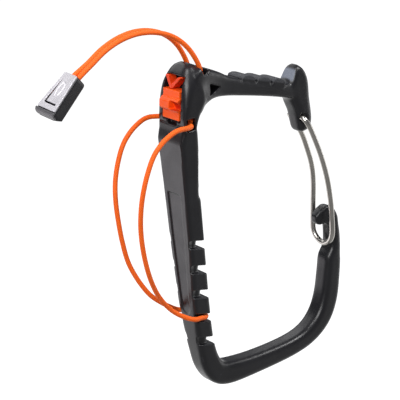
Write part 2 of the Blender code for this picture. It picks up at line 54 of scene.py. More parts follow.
# ---- sizes shared with the design ----
CORD_D = 2.4
WIRE_D = 2.8
GAP = 0.3
GATE_PIVOT = (79.4, -5.7)
GATE_HALF_SPAN = 7.3
NOTCH_COUNT = 5
NOTCH_FIRST_Z = -49.0
NOTCH_PITCH = 13.3
NOTCH_HEIGHT = 4.2
NOTCH_DEPTH = 2.5
NOTCH_ROUND = 3.2
NOTCH_SLANT = math.radians(17)
CORD_NOTCH = 3                      # the notch that the cord turns round, counted from 0
HEAD_LEAN = math.radians(8.5)
WINDOW_FOOT = (1.9, 14.4)
WINDOW_HALF_WIDTH = 6.65
WINDOW_HEIGHT = 21.4
WINDOW_DEPTH = 6.4
SLIDER_FOOT = 0.8
SLIDER_TOP = 14.7
SLIDER_HALF_WIDTH = 6.1
LEDGE_HALF_WIDTH = 6.35
TAB_LENGTH = 22.0
TAB_DEPTH = 7.2
TAB_MOUTH_WIDTH = 8.8
TAB_END_WIDTH = 12.6
TAB_CENTRE = (-55.4, 0.4, 41.6)
TAB_PITCH = math.radians(37.5)
TAB_TWIST = math.radians(9)
COVER_FACE = TAB_DEPTH / 2 - 0.15   # heights in the tab's own axes
COVER_UNDERSIDE = COVER_FACE - 0.8

# ---- limbs of the frame: outer edge (x, z), inner edge (x, z), half width, corner radius ---
SPINE_AND_HOOK = [
    ((1.4, 9.0), (10.4, 9.0), 9.9, 1.1),
    ((0.35, 5.8), (10.3, 5.8), 9.8, 1.1),
    ((0.0, 4.2), (10.3, 4.2), 9.75, 1.1),
    ((0.0, 3.0), (10.2, 3.0), 9.7, 1.1),
    ((0.0, -1.0), (10.0, -1.0), 9.6, 1.1),
    ((0.0, -23.0), (8.3, -23.0), 8.9, 1.1),
    ((0.0, -27.0), (9.2, -26.0), 8.8, 1.1),
    ((0.0, -48.0), (9.2, -48.0), 8.4, 1.2),
    ((0.0, -71.3), (9.7, -71.3), 7.3, 1.3),
    ((0.0, -79.0), (9.9, -79.2), 7.0, 1.4),
    ((0.15, -82.5), (10.1, -82.9), 6.8, 1.5),
    ((1.0, -96.0), (11.0, -97.0), 6.1, 1.9),
    ((2.2, -107.5), (12.3, -106.0), 5.8, 2.3),
    ((4.4, -117.8), (14.2, -112.4), 5.7, 2.6),
    ((10.0, -126.4), (17.2, -117.0), 5.6, 2.9),
    ((20.0, -131.0), (23.5, -119.4), 5.5, 3.0),
    ((40.0, -132.4), (40.0, -121.8), 5.4, 3.0),
    ((63.0, -132.4), (61.0, -122.6), 5.4, 3.0),
    ((78.2, -129.6), (73.5, -120.6), 5.4, 3.0),
    ((89.4, -122.4), (81.3, -115.0), 5.4, 3.0),
    ((96.0, -111.2), (86.0, -106.0), 5.3, 3.0),
    ((99.3, -95.6), (89.2, -93.0), 5.3, 3.0),
    ((100.4, -86.0), (90.8, -85.5), 5.2, 2.8),
    ((100.9, -81.0), (94.0, -81.3), 5.0, 2.4),
    ((101.0, -73.0), (94.5, -74.0), 4.6, 2.0),
    ((99.8, -63.4), (94.0, -68.6), 4.0, 1.8),
    ((95.4, -58.4), (91.0, -67.4), 3.4, 1.6),
    ((89.8, -59.6), (88.2, -67.2), 3.0, 1.4),
    ((86.2, -61.8), (86.2, -65.4), 2.4, 1.2),
]
HEAD = [
    ((0.5, 4.0), (9.8, 4.0), 9.7, 1.2),
    ((1.7, 10.5), (10.3, 10.5), 9.9, 1.3),
    ((2.7, 17.0), (13.0, 17.0), 10.4, 1.6),
    ((3.9, 24.0), (17.0, 22.0), 10.8, 2.8),
    ((5.2, 30.5), (18.4, 27.5), 10.5, 4.4),
    ((7.2, 35.4), (18.2, 32.2), 9.2, 5.4),
    ((10.2, 38.6), (17.4, 36.0), 6.9, 3.6),
    ((13.2, 40.0), (16.4, 38.4), 3.6, 1.6),
]
TOP_ARM = [
    ((12.0, 36.6), (10.5, 14.0), 10.0, 3.0),
    ((16.8, 37.7), (13.8, 15.8), 9.6, 2.8),
    ((23.0, 35.0), (17.3, 18.7), 8.5, 2.4),
    ((29.5, 31.5), (24.0, 20.2), 7.3, 2.1),
    ((36.3, 27.3), (32.5, 18.9), 6.6, 2.0),
    ((47.3, 23.0), (45.0, 15.4), 6.1, 2.0),
    ((59.0, 18.8), (57.5, 11.6), 5.8, 2.0),
    ((70.0, 14.9), (67.6, 8.2), 5.5, 2.0),
    ((77.6, 12.0), (76.0, 5.0), 5.2, 2.0),
]
NOSE = [
    ((79.2, 21.3), (80.6, 21.5), 2.2, 0.7),
    ((77.5, 19.6), (82.9, 18.9), 4.3, 1.6),
    ((75.2, 16.2), (84.5, 15.0), 5.1, 1.9),
    ((73.0, 12.0), (85.2, 10.6), 5.4, 2.4),
    ((74.0, 4.0), (85.8, 4.0), 5.4, 3.4),
    ((76.3, -2.5), (86.4, -2.5), 5.4, 3.6),
    ((77.2, -8.0), (86.5, -8.0), 5.2, 3.4),
    ((78.0, -12.0), (85.2, -11.8), 4.4, 2.6),
    ((79.6, -13.6), (82.8, -13.6), 2.6, 1.2),
]
RIDGES = [(46.3, 22.9), (55.7, 19.6), (65.1, 16.3)]
RIDGE_HALF_LENGTH = 4.25
RIDGE_HALF_WIDTH = 5.7
RIDGE_RISE = 2.6
RIDGE_SLOPE = math.atan2(3.3, 9.4)
RIDGE_GAPS = [(41.4, 24.8), (51.0, 21.5), (60.4, 18.2), (69.8, 14.9)]
RIDGE_GAP_RADIUS = 0.95

# Where the moulding is smoothed: centre (x, y, z) and radius of a ball.
FILLETS = [((22.5, 0.0, 24.0), 17.0), ((75.5, 0.0, 9.0), 14.0)]
HOOK_SHOULDER = [((97.0, 0.0, -78.0), 13.0)]

# ---- openings of the frame ----
OUTSIDE = 15                        # a cutter that reaches this far from the middle cuts through
GAP_HEIGHTS = (12.3, 15.9)          # the gap below the window, where the cord comes out
GAP_DEPTH = 2.6
DEEP_GAP_DEPTH = 5.2
DEEP_GAP_HALF_WIDTH = 3.6
SLOT_FOOT = 9.9                     # the side slots for the cord, one on each side of a web
SLOT_START = 3.6
SLOT_END = 8.8
SLOT_WEB_HALF = 4.4
CORD_BORE = 3.8
FUNNELS = [((18.6, 30.0), (17.8, 44.0)), ((21.0, 30.0), (22.4, 41.0))]
FUNNEL_RADIUS = 2.3
FUNNEL_FOOT_Y = 5.0
FUNNEL_TOP_Y = 5.8
SIDE_MOUTH = (18.6, 36.2)
SIDE_MOUTH_RADIUS = 2.4
SIDE_MOUTH_FLOOR = 4.0
LANYARD_HOLE = [(20.4, 29.0), (20.4, 22.6), (27.9, 25.2)]
BELT_RECESS = [(-4.6, -21.5), (5.6, -21.5), (5.2, -48.0), (3.6, -84.0), (0.0, -86.0), (-2.2, -84.0),
               (-4.0, -48.0)]
BELT_RECESS_DEPTH = 0.55

# ---- the cord's route, (x, y, z) on the -Y side ----
PULL_STRAND = [
    (-38.8, -1.6, 52.4), (-30.5, -1.6, 56.8), (-21.5, -1.8, 59.5), (-12.0, -2.2, 60.1),
    (-2.6, -2.8, 58.3), (6.0, -3.3, 54.2), (12.6, -3.9, 48.0), (17.0, -4.4, 40.4),
    (18.6, -4.6, 34.4),
]
INNER_RUN = [(17.6, -4.7, 28.5), (14.6, -4.9, 22.2), (10.9, -5.5, 16.8), (7.7, -7.3, 12.6)]
FRONT_EXIT = [(6.0, -10.1, 12.3), (2.6, -11.6, 12.8), (-1.6, -12.5, 13.6)]
BACK_EXIT = [(5.8, -10.2, 13.2), (2.2, -11.8, 13.9), (-1.8, -12.7, 14.3)]
LOOP_STRAND = [
    (-6.2, -12.8, 13.4), (-12.6, -12.3, 10.4), (-17.9, -11.9, 5.6), (-22.0, -11.5, -1.5),
    (-25.2, -10.9, -10.0), (-27.0, -9.9, -19.0), (-27.6, -8.8, -29.0), (-27.1, -8.2, -40.0),
    (-25.4, -7.7, -51.0), (-22.0, -6.2, -61.0), (-17.4, -4.6, -69.7),
]
FRONT_APPROACH = [(-12.0, -4.5, -77.2), (-6.6, -5.8, -82.2), (-1.0, -7.5, -85.4)]
BACK_APPROACH = [(-11.5, -4.4, -76.0), (-5.8, -5.9, -80.8), (-0.8, -7.5, -84.6)]
CORD_STEPS = 6
BRAID_YARNS = 8
BRAID_PITCH = 1.5
BRAID_DEPTH = 0.035                 # as a share of the cord's radius

# ---- the gate's legs, (x, z) from below the pivot to the hook's tip ----
GATE_FRONT_LEG = [(80.3, -8.5), (83.0, -14.6), (87.4, -27.0), (90.6, -40.0), (92.1, -52.5),
                  (92.3, -62.0), (92.1, -70.0)]
GATE_BACK_LEG = [(81.6, -8.2), (88.2, -18.2), (91.7, -28.6), (93.9, -38.0), (94.2, -47.4),
                 (93.2, -58.5), (92.1, -70.0)]

# ---- camera and floor ----
CAMERA_AZIMUTH = math.radians(-37)
CAMERA_ELEVATION = math.radians(22)
CAMERA_ROLL = math.radians(5.5)
CAMERA_DISTANCE = 710
CAMERA_ASIDE = 13.9664              # how far the camera stands right of the origin
CAMERA_BELOW = 23.0283              # and how far below it, in its own axes
LENS = 136.8
SENSOR_WIDTH = 36
FLOOR_Z = -600
FLOOR_HALF_SIZE = 10000
FLOOR_SHIFT = -5500                 # the floor reaches further in front than behind

# ---- lights: place and size in metres, power in watts, colour ----
LIGHT_TARGET = (0.03, 0, -0.04)
WHITE = (1, 1, 1)
LIGHTS = [
    ("key softbox", (-0.75, -0.50, 0.60), (0.6, 0.6), 8.5, WHITE),
    ("top softbox", (-0.32, -0.12, 1.0), (0.4, 0.4), 5.0, WHITE),
    ("front strip", (0.60, -0.42, 0.80), (0.3, 0.3), 6.0, WHITE),
    ("low left card", (-0.66, 0.85, -0.43), (0.7, 0.55), 1.15, (1.0, 0.92, 1.0)),
    ("back softbox", (0.20, 0.95, 0.62), (1.4, 0.5), 4.0, WHITE),
    ("right strip", (1.0, -0.35, 0.1), (0.25, 0.9), 1.2, WHITE),
]

# ---- turns from an outline's own axes (x, y, up) to the frame's ----
SIDEWAYS = Matrix(((0, 0, 1, 0), (1, 0, 0, 0), (0, 1, 0, 0), (0, 0, 0, 1)))
UPRIGHT = Matrix.Rotation(math.radians(90), 4, "X")


def make_camera():
    """The camera stands right of and below the origin, which lands left of and above the middle."""
    a, e, r = CAMERA_AZIMUTH, CAMERA_ELEVATION, CAMERA_ROLL
    back = Vector((math.sin(a) * math.cos(e), -math.cos(a) * math.cos(e), math.sin(e)))
    level = Vector((math.cos(a), math.sin(a), 0))
    upright = Vector((-math.sin(a) * math.sin(e), math.cos(a) * math.sin(e), math.cos(e)))
    right = math.cos(r) * level - math.sin(r) * upright
    up = math.sin(r) * level + math.cos(r) * upright
    data = bpy.data.cameras.new("camera")
    data.sensor_width = SENSOR_WIDTH
    data.lens = LENS
    data.clip_start, data.clip_end = 0.01, 50
    camera = bpy.data.objects.new("camera", data)
    bpy.context.scene.collection.objects.link(camera)
    place = Matrix((right, up, back)).transposed().to_4x4()
    place.translation = (back * CAMERA_DISTANCE + right * CAMERA_ASIDE - up * CAMERA_BELOW) * MM
    camera.matrix_world = place
    bpy.context.scene.camera = camera


# ---- geometry helpers ----
MOULD_SHRINK = 0.5                  # each round of smoothing shrinks, then swells a little more
MOULD_SWELL = -0.52
SOFTEN_PULL = 0.6
SOFTEN_FADE = 3                     # the ball's outer third is smoothed less and less


def catmull_rom(values, steps):
    """Points on a smooth curve through the given vectors, ends included."""
    ends = [2 * values[0] - values[1], *values, 2 * values[-1] - values[-2]]
    points = []
    for a, b, c, d in zip(ends, ends[1:], ends[2:], ends[3:]):
        for k in range(steps):
            t = k / steps
            points.append(0.5 * (2 * b + (c - a) * t + (2 * a - 5 * b + 4 * c - d) * t * t
                                 + (3 * b - a - 3 * c + d) * t ** 3))
    points.append(values[-1].copy())
    return points


def add_object(name, mesh, surface=None):
    """A new object in the scene, with one material if a surface is given."""
    made = bpy.data.objects.new(name, mesh)
    bpy.context.scene.collection.objects.link(made)
    if surface:
        mesh.materials.clear()
        mesh.materials.append(surface)
    return made


def remove(obj):
    """Takes an object out of the file."""
    bpy.data.objects.remove(obj, do_unlink=True)


def from_bmesh(name, shape, surface=None):
    """Turns the bmesh into an object, normals outwards, and frees it."""
    bmesh.ops.recalc_face_normals(shape, faces=shape.faces)
    mesh = bpy.data.meshes.new(name)
    shape.to_mesh(mesh)
    shape.free()
    return add_object(name, mesh, surface)


def rounded_section(half_depth, half_width, radius, steps):
    """Outline of a rounded rectangle, as (depth, width) pairs in turning order."""
    most = 0.98 * min(half_depth, half_width)
    radius = min(radius, most)
    outline = []
    for across, along, start in [(1, 1, 0), (-1, 1, 90), (-1, -1, 180), (1, -1, 270)]:
        for k in range(steps + 1):
            angle = math.radians(start + 90 * k / steps)
            outline.append((across * (half_depth - radius) + radius * math.cos(angle),
                            along * (half_width - radius) + radius * math.sin(angle)))
    return outline


def limb(name, stations):
    """A closed loft with rounded-rectangle sections between two edge curves."""
    steps, corner_steps = 8, 6
    rows = [Vector((*outer, *inner, width, radius)) for outer, inner, width, radius in stations]
    shape = bmesh.new()
    rings = []
    for ox, oz, ix, iz, width, radius in catmull_rom(rows, steps):
        outer, inner = Vector((ox, 0, oz)) * MM, Vector((ix, 0, iz)) * MM
        middle, towards = (outer + inner) / 2, (outer - inner).normalized()
        outline = rounded_section((outer - inner).length / 2, width * MM, radius * MM, corner_steps)
        rings.append([shape.verts.new(middle + towards * u + Vector((0, v, 0)))
                      for u, v in outline])
    for low, high in zip(rings, rings[1:]):
        for k in range(len(low)):
            after = (k + 1) % len(low)
            shape.faces.new((low[k], low[after], high[after], high[k]))
    shape.faces.new(rings[0])
    shape.faces.new(rings[-1])
    return from_bmesh(name, shape)


def box(name, low, high):
    """A box between two corners, in millimetres."""
    size = [(b - a) * MM for a, b in zip(low, high)]
    centre = [(a + b) / 2 * MM for a, b in zip(low, high)]
    shape = bmesh.new()
    bmesh.ops.create_cube(shape, size=1.0,
                          matrix=Matrix.Translation(centre) @ Matrix.Diagonal((*size, 1)))
    return from_bmesh(name, shape)


def rod(name, radius, start, end):
    """A round bar between two points, all in millimetres."""
    start, end = Vector(start) * MM, Vector(end) * MM
    turn = (end - start).to_track_quat("Z", "Y").to_matrix().to_4x4()
    shape = bmesh.new()
    bmesh.ops.create_cone(shape, cap_ends=True, segments=32, radius1=radius * MM,
                          radius2=radius * MM, depth=(end - start).length,
                          matrix=Matrix.Translation((start + end) / 2) @ turn)
    return from_bmesh(name, shape)


def prism(name, outline, low, high, place=Matrix()):
    """A flat outline in XY made solid from z = low to z = high, all in millimetres."""
    shape = bmesh.new()
    bottom = [shape.verts.new(Vector((x, y, low)) * MM) for x, y in outline]
    top = [shape.verts.new(Vector((x, y, high)) * MM) for x, y in outline]
    shape.faces.new(bottom)
    shape.faces.new(top)
    for k in range(len(outline)):
        after = (k + 1) % len(outline)
        shape.faces.new((bottom[k], bottom[after], top[after], top[k]))
    shape.transform(place)
    return from_bmesh(name, shape)


def rounded_outline(corners, radius):
    """A polygon, in millimetres, with each corner rounded by an arc-like curve."""
    steps = 5
    points = []
    for before, here, after in zip(corners[-1:] + corners[:-1], corners, corners[1:] + corners[:1]):
        here = Vector(here)
        start = here + (Vector(before) - here).normalized() * radius
        end = here + (Vector(after) - here).normalized() * radius
        for k in range(steps + 1):
            t = k / steps
            points.append(tuple((1 - t) ** 2 * start + 2 * t * (1 - t) * here + t * t * end))
    return points


def combine(obj, tools, operation):
    """Union with, or difference of, each tool in turn; the tools are used up."""
    for tool in tools:
        step = obj.modifiers.new(tool.name, "BOOLEAN")
        step.operation, step.solver, step.object = operation, "MANIFOLD", tool
        bake(obj)
        remove(tool)


def eased(obj, width):
    """The same solid with its sharp edges bevelled to a width in millimetres."""
    step = obj.modifiers.new("eased edges", "BEVEL")
    step.limit_method = "ANGLE"
    step.angle_limit = math.radians(40)
    step.width = width * MM
    step.segments = 3
    bake(obj)
    return obj


def bake(obj):
    """Replaces the object's mesh with what its modifiers make of it."""
    bpy.context.view_layer.update()
    seen = obj.evaluated_get(bpy.context.evaluated_depsgraph_get())
    mesh = bpy.data.meshes.new_from_object(seen)
    obj.modifiers.clear()
    old = obj.data
    obj.data = mesh
    bpy.data.meshes.remove(old)


def one_skin(obj, voxel):
    """Remeshes to even small faces and returns the vertices, edges and edges per vertex."""
    step = obj.modifiers.new("one skin", "REMESH")
    step.mode = "VOXEL"
    step.voxel_size = voxel * MM
    bake(obj)
    at = read_vectors(obj.data.vertices, "co")
    pairs = np.empty(len(obj.data.edges) * 2, dtype=np.int64)
    obj.data.edges.foreach_get("vertices", pairs)
    return at, pairs.reshape(-1, 2), np.bincount(pairs, minlength=len(at)).astype(float)


def read_vectors(items, key):
    """One row of three numbers for each item."""
    numbers = np.empty(len(items) * 3)
    items.foreach_get(key, numbers)
    return numbers.reshape(-1, 3)


def write_positions(obj, at):
    """Moves the mesh's vertices to the given rows."""
    obj.data.vertices.foreach_set("co", at.ravel())
    obj.data.update()


def pulls(at, pairs, links):
    """Vectors from each vertex to the middle of its neighbours."""
    total = np.zeros_like(at)
    for axis in range(3):
        for here, there in ((0, 1), (1, 0)):
            total[:, axis] += np.bincount(pairs[:, here], weights=at[pairs[:, there], axis],
                                          minlength=len(at))
    return total / links[:, None] - at


def soften(obj, places, voxel, rounds, hollow_only):
    """Smooths what lies inside each ball, or only its hollow corners."""
    at, pairs, links = one_skin(obj, voxel)
    share = np.zeros(len(at))
    for centre, radius in places:
        away = np.linalg.norm(at - np.array(centre) * MM, axis=1) / (radius * MM)
        share = np.maximum(share, np.clip(SOFTEN_FADE * (1 - away), 0, 1))
    for _ in range(rounds):
        pull = pulls(at, pairs, links)
        chosen = share
        if hollow_only:
            chosen = share * ((pull * read_vectors(obj.data.vertices, "normal")).sum(axis=1) > 0)
        at = at + SOFTEN_PULL * chosen[:, None] * pull
        write_positions(obj, at)


def moulded(obj, surface, voxel, rounds, place=Matrix()):
    """One skin of even small faces, every edge rounded as in a mould, then put in its place."""
    at, pairs, links = one_skin(obj, voxel)
    for step in (MOULD_SHRINK, MOULD_SWELL) * rounds:
        at = at + step * pulls(at, pairs, links)
    write_positions(obj, at)
    obj.data.transform(place)
    obj.data.shade_smooth()
    obj.data.materials.clear()
    obj.data.materials.append(surface)
    return obj


def spaced(points, gap):
    """The same line with even spacing near a gap in millimetres, ends kept."""
    lengths = [0.0]
    for a, b in zip(points, points[1:]):
        lengths.append(lengths[-1] + (b - a).length)
    count = max(2, round(lengths[-1] / (gap * MM)))
    even, k = [], 0
    for i in range(count + 1):
        goal = lengths[-1] * i / count
        while k < len(points) - 2 and lengths[k + 1] < goal:
            k += 1
        share = (goal - lengths[k]) / (lengths[k + 1] - lengths[k])
        even.append(points[k].lerp(points[k + 1], share))
    return even


def tube(name, points, diameter, sides, surface=None, relief=None):
    """A round tube with flat ends.  Its UV map runs in millimetres along and turns round."""
    ahead = [(b - a).normalized() for a, b in zip(points, points[1:])]
    tangents = [ahead[0]] + [(a + b).normalized() for a, b in zip(ahead, ahead[1:])] + [ahead[-1]]
    normal = tangents[0].orthogonal().normalized()
    shape = bmesh.new()
    uv = shape.loops.layers.uv.new("along")
    rings, far, at = [], 0.0, []
    for k, (point, tangent) in enumerate(zip(points, tangents)):
        normal = (normal - tangent * normal.dot(tangent)).normalized()
        other = tangent.cross(normal)
        far += (point - points[k - 1]).length if k else 0.0
        at.append(far / MM)
        ring = []
        for i in range(sides):
            turn = i / sides
            radius = diameter / 2 * MM * (relief(far / MM, turn) if relief else 1.0)
            angle = 2 * math.pi * turn
            ring.append(shape.verts.new(point + radius * (math.cos(angle) * normal
                                                          + math.sin(angle) * other)))
        rings.append(ring)
    for k, (low, high) in enumerate(zip(rings, rings[1:])):
        for i in range(sides):
            after = (i + 1) % sides
            face = shape.faces.new((low[i], low[after], high[after], high[i]))
            places = ((at[k], i), (at[k], i + 1), (at[k + 1], i + 1), (at[k + 1], i))
            for loop, (along, side) in zip(face.loops, places):
                loop[uv].uv = (along, side / sides)
    shape.faces.new(rings[0])
    shape.faces.new(rings[-1])
    made = from_bmesh(name, shape, surface)
    made.data.shade_smooth()
    made.data.set_sharp_from_angle(angle=math.radians(60))
    return made


def lean_place():
    """Placement of the lock window: its local x runs inwards and its z up the window."""
    return (Matrix.Translation(Vector((WINDOW_FOOT[0], 0, WINDOW_FOOT[1])) * MM)
            @ Matrix.Rotation(HEAD_LEAN, 4, "Y"))


# ---- materials: noise scales per metre, bump heights and subsurface radii in metres ----
class Nodes:
    """Short ways to add and join shader nodes."""

    def __init__(self, name):
        self.material = bpy.data.materials.new(name)
        self.material.use_nodes = True
        self.tree = self.material.node_tree
        self.shader = self.tree.nodes["Principled BSDF"]
        self.place = self.add("ShaderNodeTexCoord").outputs["Object"]

    def add(self, kind, **settings):
        node = self.tree.nodes.new(kind)
        for key, value in settings.items():
            setattr(node, key, value)
        return node

    def feed(self, socket, value):
        if isinstance(value, bpy.types.NodeSocket):
            self.tree.links.new(value, socket)
        else:
            socket.default_value = value

    def math(self, operation, a, b=0.0):
        node = self.add("ShaderNodeMath", operation=operation)
        self.feed(node.inputs[0], a)
        self.feed(node.inputs[1], b)
        return node.outputs[0]

    def noise(self, scale, detail, rough=0.55, vector=None):
        node = self.add("ShaderNodeTexNoise")
        self.feed(node.inputs["Vector"], vector or self.place)
        node.inputs["Scale"].default_value = scale
        node.inputs["Detail"].default_value = detail
        node.inputs["Roughness"].default_value = rough
        return node.outputs["Fac"]

    def cells(self, scale):
        node = self.add("ShaderNodeTexVoronoi", feature="F1")
        self.feed(node.inputs["Vector"], self.place)
        node.inputs["Scale"].default_value = scale
        return node.outputs["Distance"]

    def span(self, value, low, high, to_low=0.0, to_high=1.0, soft=True):
        """Carries the range from low to high over to another one, smoothly or in a straight line."""
        node = self.add("ShaderNodeMapRange", interpolation_type="SMOOTHSTEP" if soft else "LINEAR")
        for socket, number in zip(node.inputs, (value, low, high, to_low, to_high)):
            self.feed(socket, number)
        return node.outputs[0]

    def within(self, value, low, full, fading, high):
        """1 between two places in millimetres, with a soft border on each side, and 0 outside."""
        return self.math("MULTIPLY", self.span(value, low * MM, full * MM),
                         self.span(value, fading * MM, high * MM, 1, 0))

    def mix(self, share, a, b):
        node = self.add("ShaderNodeMix", data_type="RGBA")
        self.feed(node.inputs[0], share)
        for socket, colour in ((node.inputs[6], a), (node.inputs[7], b)):
            self.feed(socket, (*colour, 1.0) if isinstance(colour, tuple) else colour)
        return node.outputs[2]

    def bump(self, height, distance, under=None):
        """Raises the surface by height times a distance, on top of the bumps given as under."""
        node = self.add("ShaderNodeBump")
        self.feed(node.inputs["Height"], height)
        node.inputs["Distance"].default_value = distance
        node.inputs["Strength"].default_value = 1.0
        if under:
            self.feed(node.inputs["Normal"], under)
        return node.outputs["Normal"]

    def xyz(self, vector=None):
        node = self.add("ShaderNodeSeparateXYZ")
        self.feed(node.inputs[0], vector or self.place)
        return node.outputs

    def finish(self, colour, roughness, normal=None, metallic=0.0, **others):
        """Feeds the shader; other inputs are named with _ for a space.  Returns the material."""
        self.feed(self.shader.inputs["Base Color"],
                  (*colour, 1.0) if isinstance(colour, tuple) else colour)
        self.feed(self.shader.inputs["Roughness"], roughness)
        self.shader.inputs["Metallic"].default_value = metallic
        if normal:
            self.feed(self.shader.inputs["Normal"], normal)
        for key, value in others.items():
            self.feed(self.shader.inputs[key.replace("_", " ")], value)
        return self.material


def edge_wear(n):
    """Strong on outer edges, where handling polishes and lightens the plastic."""
    return n.span(n.add("ShaderNodeNewGeometry").outputs["Pointiness"], 0.52, 0.60)


def black_nylon():
    """Glass-filled nylon: fine spark texture, faint flow marks, pebbled grips, and a painted sheen
    on the thumb face.
    """
    n = Nodes("black_nylon")
    x, _, z = n.xyz()
    flow = n.noise(90, 4)
    stretched = n.add("ShaderNodeMapping")
    stretched.inputs["Scale"].default_value = (1.0, 1.0, 0.12)
    n.feed(stretched.inputs["Vector"], n.place)
    streaks = n.noise(1400, 2, vector=stretched.outputs[0])
    grain = n.noise(5200, 3, 0.6)
    crest = n.math("ADD", z, n.math("MULTIPLY", x, math.tan(RIDGE_SLOPE)))
    grip = n.math("MULTIPLY", n.within(x, 39.5, 41.5, 71.5, 73.5),
                  n.span(crest, 39.2 * MM, 40.2 * MM))
    # The thumb face is picked by its facing the head; the pale grey-blue it gets below is painted
    # sheen.
    facing = n.xyz(n.add("ShaderNodeNewGeometry").outputs["Normal"])[0]
    towards_head = n.span(facing, -0.8, -0.55, 1, 0)
    thumb = n.math("MULTIPLY", n.within(z, 12.5, 14.0, 19.0, 20.5),
                   n.math("MULTIPLY", towards_head, n.span(x, 70 * MM, 72.5 * MM)))
    pebbles = n.math("MAXIMUM", grip, thumb)
    wear = edge_wear(n)
    colour = n.mix(flow, (0.005, 0.005, 0.006), (0.009, 0.009, 0.011))
    colour = n.mix(n.math("MULTIPLY", streaks, 0.25), colour, (0.020, 0.019, 0.024))
    colour = n.mix(n.math("MULTIPLY", wear, 0.35), colour, (0.045, 0.045, 0.052))
    colour = n.mix(n.math("MULTIPLY", grip, 0.5), colour, (0.060, 0.062, 0.072))
    # Painted sheen: the thumb face is lifted to a pale grey-blue.
    colour = n.mix(n.math("MULTIPLY", thumb, 0.85), colour, (0.210, 0.230, 0.285))
    rough = n.math("ADD", n.span(flow, 0.3, 0.7, 0.30, 0.37), n.math("MULTIPLY", pebbles, 0.16))
    rough = n.math("SUBTRACT", rough, n.math("MULTIPLY", wear, 0.06))
    fine = n.bump(grain, 0.000016)
    lines = n.bump(streaks, 0.000014, under=fine)
    height = n.math("MULTIPLY", n.math("SUBTRACT", 1.0, n.cells(1500)), pebbles)
    return n.finish(colour, rough, n.bump(height, 0.00016, under=lines))


def orange_plastic(name, light, dark):
    """Moulded acetal: slightly translucent, with worn edges and painted shade in the thumb pocket.
    """
    n = Nodes(name)
    _, y, z = n.xyz()
    flow = n.noise(220, 3)
    grain = n.noise(6000, 2)
    colour = n.mix(flow, dark, light)
    # Painted shade: the thumb pocket is darkened to a deep red, as if lying in shadow.
    pocket = n.math("MULTIPLY", n.span(y, -1.2 * MM, -2.2 * MM), n.within(z, 19.6, 20.4, 23.4, 25.2))
    colour = n.mix(n.math("MULTIPLY", pocket, 0.85), colour, (0.52, 0.014, 0.005))
    colour = n.mix(n.math("MULTIPLY", edge_wear(n), 0.5), colour, (1.0, 0.26, 0.06))
    return n.finish(colour, n.span(flow, 0.3, 0.7, 0.40, 0.50), n.bump(grain, 0.000012),
                    Specular_IOR_Level=0.35, Subsurface_Weight=0.05, Subsurface_Scale=1.0,
                    Subsurface_Radius=(0.0008, 0.0003, 0.0001))


def braid_height(n):
    """How high the upper yarn stands, and how squarely two yarns cross, from the cord's map."""
    along, turn, _ = n.xyz(n.add("ShaderNodeUVMap", uv_map="along").outputs[0])
    spin = n.math("MULTIPLY", turn, 2 * math.pi * BRAID_YARNS)
    march = n.math("MULTIPLY", along, 2 * math.pi / BRAID_PITCH)
    one = n.math("SINE", n.math("ADD", march, spin))
    two = n.math("SINE", n.math("SUBTRACT", march, spin))
    return n.math("MAXIMUM", one, two), n.math("MULTIPLY", one, two)


def elastic_sheath():
    """Braided polyester sheath of a shock cord: diamond yarns and fuzzy fibres, with painted shade
    between the yarns and painted highlights where they cross.
    """
    n = Nodes("elastic_sheath")
    yarn, crossing = braid_height(n)
    fibres = n.noise(9000, 2)
    patch = n.noise(160, 2)
    lift = n.span(yarn, -0.4, 1.0, soft=False)
    # Painted shade: darker where the yarn lies low, lighter on its top.
    colour = n.mix(lift, (0.86, 0.045, 0.003), (1.0, 0.175, 0.008))
    # Painted highlight: lighter orange where the two yarns cross.
    colour = n.mix(n.math("MULTIPLY", n.span(crossing, 0.3, 0.9), 0.35), colour, (1.0, 0.38, 0.06))
    colour = n.mix(n.math("MULTIPLY", patch, 0.2), colour, (0.95, 0.13, 0.01))
    height = n.math("ADD", lift, n.math("MULTIPLY", fibres, 0.25))
    return n.finish(colour, 0.6, n.bump(height, 0.00005), Specular_IOR_Level=0.3,
                    Sheen_Weight=0.12, Sheen_Roughness=0.45, Sheen_Tint=(1.0, 0.45, 0.15, 1.0))


def drawn_steel():
    """Stainless wire: polished, with drawing lines along it and a warm grey tone."""
    n = Nodes("drawn_steel")
    along, turn, _ = n.xyz(n.add("ShaderNodeUVMap", uv_map="along").outputs[0])
    cell = n.add("ShaderNodeCombineXYZ")
    n.feed(cell.inputs[0], n.math("MULTIPLY", along, 0.05))
    n.feed(cell.inputs[1], n.math("MULTIPLY", turn, 40.0))
    lines = n.noise(1.6, 3, vector=cell.outputs[0])
    cloud = n.noise(130, 3)
    colour = n.mix(cloud, (0.42, 0.40, 0.37), (0.58, 0.56, 0.52))
    return n.finish(colour, n.span(cloud, 0.3, 0.7, 0.20, 0.27), n.bump(lines, 0.000004),
                    metallic=1.0)


def satin_metal(name, shade):
    """Pressed cover of a given shade of grey: bead-blasted, with a light brushed direction."""
    n = Nodes(name)
    stretched = n.add("ShaderNodeMapping")
    stretched.inputs["Scale"].default_value = (1.0, 0.08, 1.0)
    n.feed(stretched.inputs["Vector"], n.place)
    brushed = n.noise(2600, 3, vector=stretched.outputs[0])
    cloud = n.noise(200, 2)
    low, high, worn = (tuple(shade * tone * tint for tint in (1.0, 0.97, 1.02))
                       for tone in (0.94, 1.0, 0.84))
    colour = n.mix(cloud, low, high)
    colour = n.mix(n.math("MULTIPLY", brushed, 0.12), colour, worn)
    return n.finish(colour, n.span(cloud, 0.3, 0.7, 0.40, 0.46), n.bump(brushed, 0.000002),
                    metallic=0.6)


